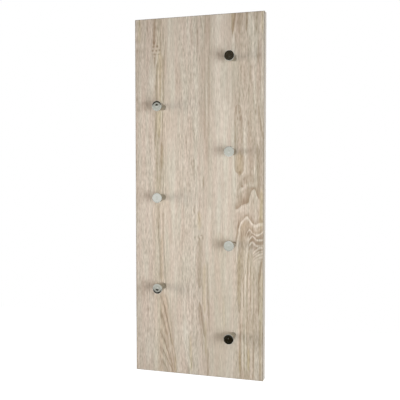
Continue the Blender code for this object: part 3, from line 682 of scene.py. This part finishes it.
under_head = screw_high.y - head_depth
shank_end = screw_low.y + tip_chamfer
screw_outline = [(0, screw_high.y)]
for k in range(head_steps + 1):
    turn = math.radians(90 * k / head_steps)
    screw_outline.append((head_radius - head_round * (1 - math.sin(turn)),
                          screw_high.y - head_round * (1 - math.cos(turn))))
screw_outline += [(head_radius, under_head), *shank(shank_radius, under_head, shank_end, screw_pitch),
                  (shank_radius - tip_chamfer, screw_low.y), (0, screw_low.y)]
screw_mesh = turned("peg_screw", screw_outline, screw_sides)
thread(screw_mesh, shank_radius, under_head - neck, shank_end, screw_pitch, screw_thread)
screw_mesh = carved(screw_mesh, cross_recess(screw_high.y))
screws = repeated("peg_screws", screw_mesh, columns, stations | {"Finish": zinc})
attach(screws, "root")
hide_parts(*[f"peg_screw_{k}" for k in PEGS])

# Hanger plates: stamped from zinc plated strip, sunk flush over a pocket and screwed to the core.
# A nail head enters the round part of the keyhole, and the narrow part drops over its shank.
plate_low, plate_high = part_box("hanger_plate_right")
plate_column, plate_half = (plate_low.x + plate_high.x) / 2, (plate_high.x - plate_low.x) / 2
keyhole_rise, plate_corner, plate_edge, cut_past = 21 * MM, 4 * MM, 0.25 * MM, 1 * MM
keyhole_height = plate_low.z + keyhole_rise
entry_radius, slot_radius, slot_travel = 5 * MM, 2.6 * MM, 12 * MM
upper_screw, lower_screw = 26.5 * MM, -14.5 * MM
sunk_radius, sunk_depth, sunk_bore = 3.5 * MM, 1.75 * MM, 1.75 * MM
corner_turns, entry_steps, slot_steps, sunk_sides = 8, 32, 16, 48


def arc(x, z, radius, first, last, steps):
    """Points of an arc, its angles in degrees clockwise from the top."""
    turns = [math.radians(first + (last - first) * k / steps) for k in range(steps + 1)]
    return [(x + radius * math.sin(turn), z + radius * math.cos(turn)) for turn in turns]


plate_outline = []
upper = plate_high.z - plate_corner - keyhole_height
lower = plate_low.z + plate_corner - keyhole_height
for quarter, (side, end) in enumerate(((1, upper), (1, lower), (-1, lower), (-1, upper))):
    plate_outline += arc(side * (plate_half - plate_corner), end, plate_corner,
                         90 * quarter, 90 * quarter + 90, corner_turns)
plate_mesh = prism("hanger_plate", plate_outline, plate_low.y, plate_high.y)
shape = bmesh.new()
shape.from_mesh(plate_mesh)
rims = [edge for edge in shape.edges if edge.calc_face_angle() > math.radians(60)]
bmesh.ops.bevel(shape, geom=rims, offset=plate_edge, segments=2, profile=0.5, affect="EDGES")
shape.to_mesh(plate_mesh)
shape.free()
opening = math.degrees(math.asin(slot_radius / entry_radius))
keyhole = arc(0, 0, entry_radius, opening, 360 - opening, entry_steps)
keyhole += arc(0, slot_travel, slot_radius, -90, 90, slot_steps)
cut_front, cut_back = plate_low.y - cut_past, plate_high.y + cut_past
plate_mesh = carved(plate_mesh, prism("keyhole", keyhole, cut_front, cut_back))
for height in (upper_screw, lower_screw):
    sunk_outline = [
        (0, cut_back), (sunk_radius + cut_past, cut_back), (sunk_bore, plate_high.y - sunk_depth),
        (sunk_bore, cut_front), (0, cut_front)]
    countersink = turned("countersink", sunk_outline, sunk_sides)
    countersink.transform(Matrix.Translation((0, 0, height)))
    plate_mesh = carved(plate_mesh, countersink)
pair = {"In a row": 2, "Column": plate_column}
plates = repeated("hanger_plates", plate_mesh, columns, pair | {
    "Count": 2, "Step": 0.0, "First height": keyhole_height, "Finish": zinc})
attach(plates, "root")
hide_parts("hanger_plate_left", "hanger_plate_right")

# Hanger screws: short countersunk chipboard screws, two to a plate, flush with it.
# They are rolled from steel wire, and yellow from the bath that seals their zinc.
fixing_low, fixing_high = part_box("hanger_screw_right_upper")
fixing_pitch, fixing_thread = 1.4 * MM, 0.4 * MM
point_radius, point_length = 0.3 * MM, 4 * MM
shank_top, shank_end = fixing_high.y - sunk_depth, fixing_low.y + point_length
fixing_mesh = turned("hanger_screw", [
    (0, fixing_high.y), (sunk_radius, fixing_high.y), *shank(sunk_bore, shank_top, shank_end, fixing_pitch),
    (point_radius, fixing_low.y), (0, fixing_low.y)], screw_sides)
thread(fixing_mesh, sunk_bore, shank_top - neck, shank_end, fixing_pitch, fixing_thread)
fixing_mesh = carved(fixing_mesh, cross_recess(fixing_high.y))

# Yellow zinc: a thin gold film, which turns a little green and a little pink from place to place.
film_patch = 3 * MM
yellow_zinc, tree, place = new_material("yellow_zinc_plated_steel")
film = node(tree, "ShaderNodeTexNoise", place, 1 / film_patch, 2.0)
film_tone = tones_along(tree, film, [(0.3, "#B4AA66"), (0.5, "#C9A95C"), (0.7, "#CB9E74")])
node(tree, "ShaderNodeOutputMaterial", node(tree, "ShaderNodeBsdfPrincipled", named={
    "Base Color": film_tone, "Metallic": 1.0, "Roughness": 0.32}))

fixings = repeated("hanger_screws", fixing_mesh, columns, pair | {
    "Count": 4, "Step": upper_screw - lower_screw, "First height": keyhole_height + upper_screw,
    "Finish": yellow_zinc})
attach(fixings, "root")
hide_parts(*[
    f"hanger_screw_{side}_{end}" for side in ("left", "right") for end in ("upper", "lower")])

# Studio: a pale floor far below the hung panel, a card in front of it, and soft lamps all round.
# The floor and the world look white to the camera and in the polished pegs, but give little light.
floor_height, floor_reach = -1.85, 6.0


def backdrop(name, corners):
    """A flat sheet of the studio."""
    mesh = bpy.data.meshes.new(name)
    mesh.from_pydata(corners, [], [(0, 1, 2, 3)])
    sheet = bpy.data.objects.new(name, mesh)
    bpy.context.scene.collection.objects.link(sheet)
    return sheet


def seen(tree):
    """1 for a ray from the camera, off metal or through glass, and 0 for one that lights the object."""
    rays = node(tree, "ShaderNodeLightPath").outputs
    either = node(tree, "ShaderNodeMath", rays["Is Camera Ray"], rays["Is Glossy Ray"], operation="MAXIMUM")
    return node(tree, "ShaderNodeMath", either, rays["Is Transmission Ray"], operation="MAXIMUM")


floor = backdrop("studio_floor", [
    (x * floor_reach, y * floor_reach, floor_height) for x, y in ((-1, -1), (1, -1), (1, 1), (-1, 1))])
painted, tree, _ = new_material("white_floor_paint")
node(tree, "ShaderNodeOutputMaterial", node(tree, "ShaderNodeBsdfPrincipled", named={
    "Base Color": linear("#E8E6E2"), "Roughness": 0.9, "Emission Color": linear("#FFFFFF"),
    "Emission Strength": seen(tree)}))
floor.data.materials.append(painted)

# The card is what the polished faces mirror: bright in the middle, and dark above and below.
card_y, card_left, card_right, card_low, card_high = -2.58, -2.2, 0.6, -1.8, 2.0
card = backdrop("studio_card", [
    (card_left, card_y, card_low), (card_right, card_y, card_low), (card_right, card_y, card_high),
    (card_left, card_y, card_high)])
card.visible_camera = card.visible_diffuse = card.visible_shadow = card.visible_transmission = False
glow, tree, place = new_material("graded_card")
card_glow = 1.2
height = node(tree, "ShaderNodeSeparateXYZ", place).outputs["Z"]
grade = tones_along(tree, height, [
    (card_low, "#252014"), (-0.806, "#252014"), (-0.773, "#E0E0DC"), (-0.42, "#E6E6E2"),
    (-0.115, "#FFFFFF"), (0.2, "#E6E6E2"), (0.533, "#E0E0DC"), (0.566, "#413A2F"),
    (card_high, "#413A2F")])
node(tree, "ShaderNodeOutputMaterial", node(tree, "ShaderNodeEmission", grade, card_glow))
card.data.materials.append(glow)


def lamp(name, location, size, power, tint=(1, 1, 1)):
    """A square soft box aimed at the middle of the panel."""
    data = bpy.data.lights.new(name, "AREA")
    data.size, data.energy, data.color = size, power, tint
    box = bpy.data.objects.new(name, data)
    box.location = location
    box.rotation_euler = (-box.location).to_track_quat("-Z", "Y").to_euler()
    box.visible_camera = box.visible_glossy = False
    bpy.context.scene.collection.objects.link(box)


# The right-hand lamp is the main one, and a little cool. The two warm ones fill its shadows, and the last
# two light the side and the back.
cool, warm = (0.923, 1.0, 1.065), (1.06, 1.0, 0.955)
lamp("right_softbox", (1.45, -1.5, -0.07), 0.75, 24.3, cool)
lamp("left_softbox", (-2.0, -1.1, 0.0), 1.2, 21.2, warm)
lamp("front_softbox", (0.25, -0.95, 0.0), 0.8, 3.4, warm)
lamp("side_softbox", (1.7, 0.3, 0.0), 0.6, 10)
lamp("back_softbox", (-0.3, 1.6, 1.8), 1.2, 58)

room_light = 0.07
world = bpy.data.worlds.new("studio")
world.use_nodes = True
tree = world.node_tree
level = node(tree, "ShaderNodeMapRange", seen(tree), 0.0, 1.0, room_light, 1.0)
background = tree.nodes["Background"].inputs
background["Color"].default_value = linear("#FFFFFF")
tree.links.new(level.outputs[0], background["Strength"])
bpy.context.scene.world = world

# Camera: a little above the middle of the panel and to its right, tipped down slightly.
tipped_down, swung_left = 2.75, 17.13
camera_data = bpy.data.cameras.new("camera")
camera_data.sensor_width = 36
camera_data.lens = 58.11
camera = bpy.data.objects.new("camera", camera_data)
camera.location = (0.5337, -1.7363, 0.0796)
camera.rotation_euler = (math.radians(90 - tipped_down), 0, math.radians(swung_left))
bpy.context.scene.collection.objects.link(camera)
bpy.context.scene.camera = camera
bpy.context.scene.view_settings.view_transform = "Standard"
